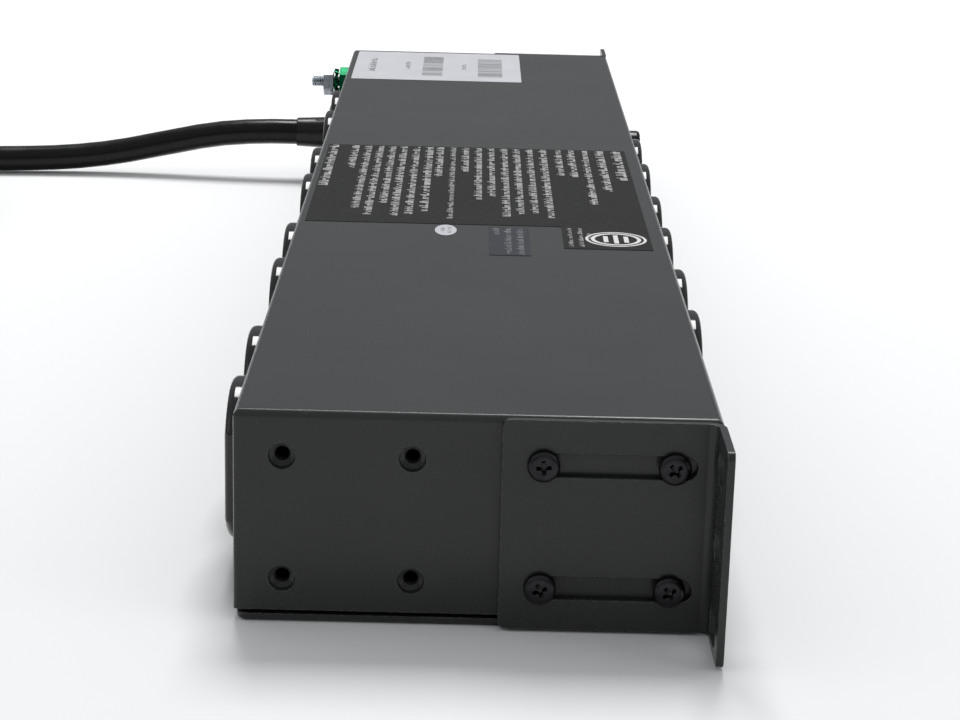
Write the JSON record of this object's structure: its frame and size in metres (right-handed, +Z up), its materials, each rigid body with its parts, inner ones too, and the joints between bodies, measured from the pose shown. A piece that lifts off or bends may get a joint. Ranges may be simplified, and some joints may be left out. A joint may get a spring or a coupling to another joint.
{
  "type": "rack power strip",
  "caption": "Flat one-unit rack power strip with round-faced outlets along both long sides, slotted end ears, rocker, reset button, ground stud and coiled cord.",
  "frame": {"origin": "centre of the case's underside, where it stands", "axes": "+X along the case, -Y out of the front panel with the rack ears' flanges, +Y out of the rear panel with the cord, +Z up"},
  "size_m": [0.4826, 0.3896, 0.044],
  "materials": {
    "case_steel": "satin fine-texture powder coat",
    "ear_steel": "satin powder coat",
    "black_screw": "black zinc",
    "receptacle_plastic": "polished moulding",
    "bright_steel": "bright zinc plate",
    "green_zinc": "green dyed zinc",
    "black_plastic": "fine matt moulding",
    "cord_jacket": "smooth extruded jacket",
    "brass": "rolled",
    "lens_green": "clear green",
    "lens_amber": "clear amber",
    "circuit_board": "solder mask",
    "varistor_blue": "epoxy dip",
    "wire_white": "extruded",
    "wire_green": "extruded",
    "ferrite": "enamelled winding"
  },
  "bodies": {
    "strip": {"top_shell": "case_steel", "bottom_cover": "case_steel", "cover_screw_1": "black_screw", "cover_screw_2": "black_screw", "cover_screw_3": "black_screw", "cover_screw_4": "black_screw", "ear_left": "ear_steel", "ear_right": "ear_steel", "ear_screw_left_1": "black_screw", "ear_screw_left_2": "black_screw", "ear_screw_left_3": "black_screw", "ear_screw_left_4": "black_screw", "ear_screw_right_1": "black_screw", "ear_screw_right_2": "black_screw", "ear_screw_right_3": "black_screw", "ear_screw_right_4": "black_screw", "rear_duplex_1": "receptacle_plastic", "rear_duplex_2": "receptacle_plastic", "rear_duplex_3": "receptacle_plastic", "rear_duplex_4": "receptacle_plastic", "front_duplex_1": "receptacle_plastic", "front_duplex_2": "receptacle_plastic", "front_duplex_3": "receptacle_plastic", "rear_strap_1": "bright_steel", "rear_strap_2": "bright_steel", "rear_strap_3": "bright_steel", "rear_strap_4": "bright_steel", "front_strap_1": "bright_steel", "front_strap_2": "bright_steel", "front_strap_3": "bright_steel", "switch_housing": "black_plastic", "breaker_body": "black_plastic", "breaker_nut": "bright_steel", "power_lens": "lens_green", "surge_lens": "lens_amber", "ground_stud": "bright_steel", "ground_green_nut": "green_zinc", "ground_star_washer": "green_zinc", "ground_hex_nut": "bright_steel", "cord_strain_relief": "black_plastic", "cord_lead": "cord_jacket", "cord_coil": "cord_jacket", "cord_tail": "cord_jacket", "cord_tie": "black_plastic", "plug_body": "black_plastic", "plug_blade_line": "brass", "plug_blade_neutral": "brass", "plug_ground_pin": "brass", "surge_board": "circuit_board", "varistor_1": "varistor_blue", "varistor_2": "varistor_blue", "varistor_3": "varistor_blue", "filter_choke": "ferrite", "thermal_fuse": "bright_steel", "wire_line": "cord_jacket", "wire_neutral": "wire_white", "wire_ground": "wire_green"},
    "rocker": {"switch_rocker": "black_plastic"},
    "reset": {"reset_button": "black_plastic"}
  },
  "joints": [
    {"name": "rocker_tilt", "type": "hinge", "parent": "strip", "child": "rocker", "pos_m": [0.19, -0.04503, 0.022], "axis": [0, 0, 1], "range_deg": [-12, 0]},
    {"name": "reset_travel", "type": "slide", "parent": "strip", "child": "reset", "axis": [0, -1, 0], "range_m": [0, 0.003]}
  ]
}
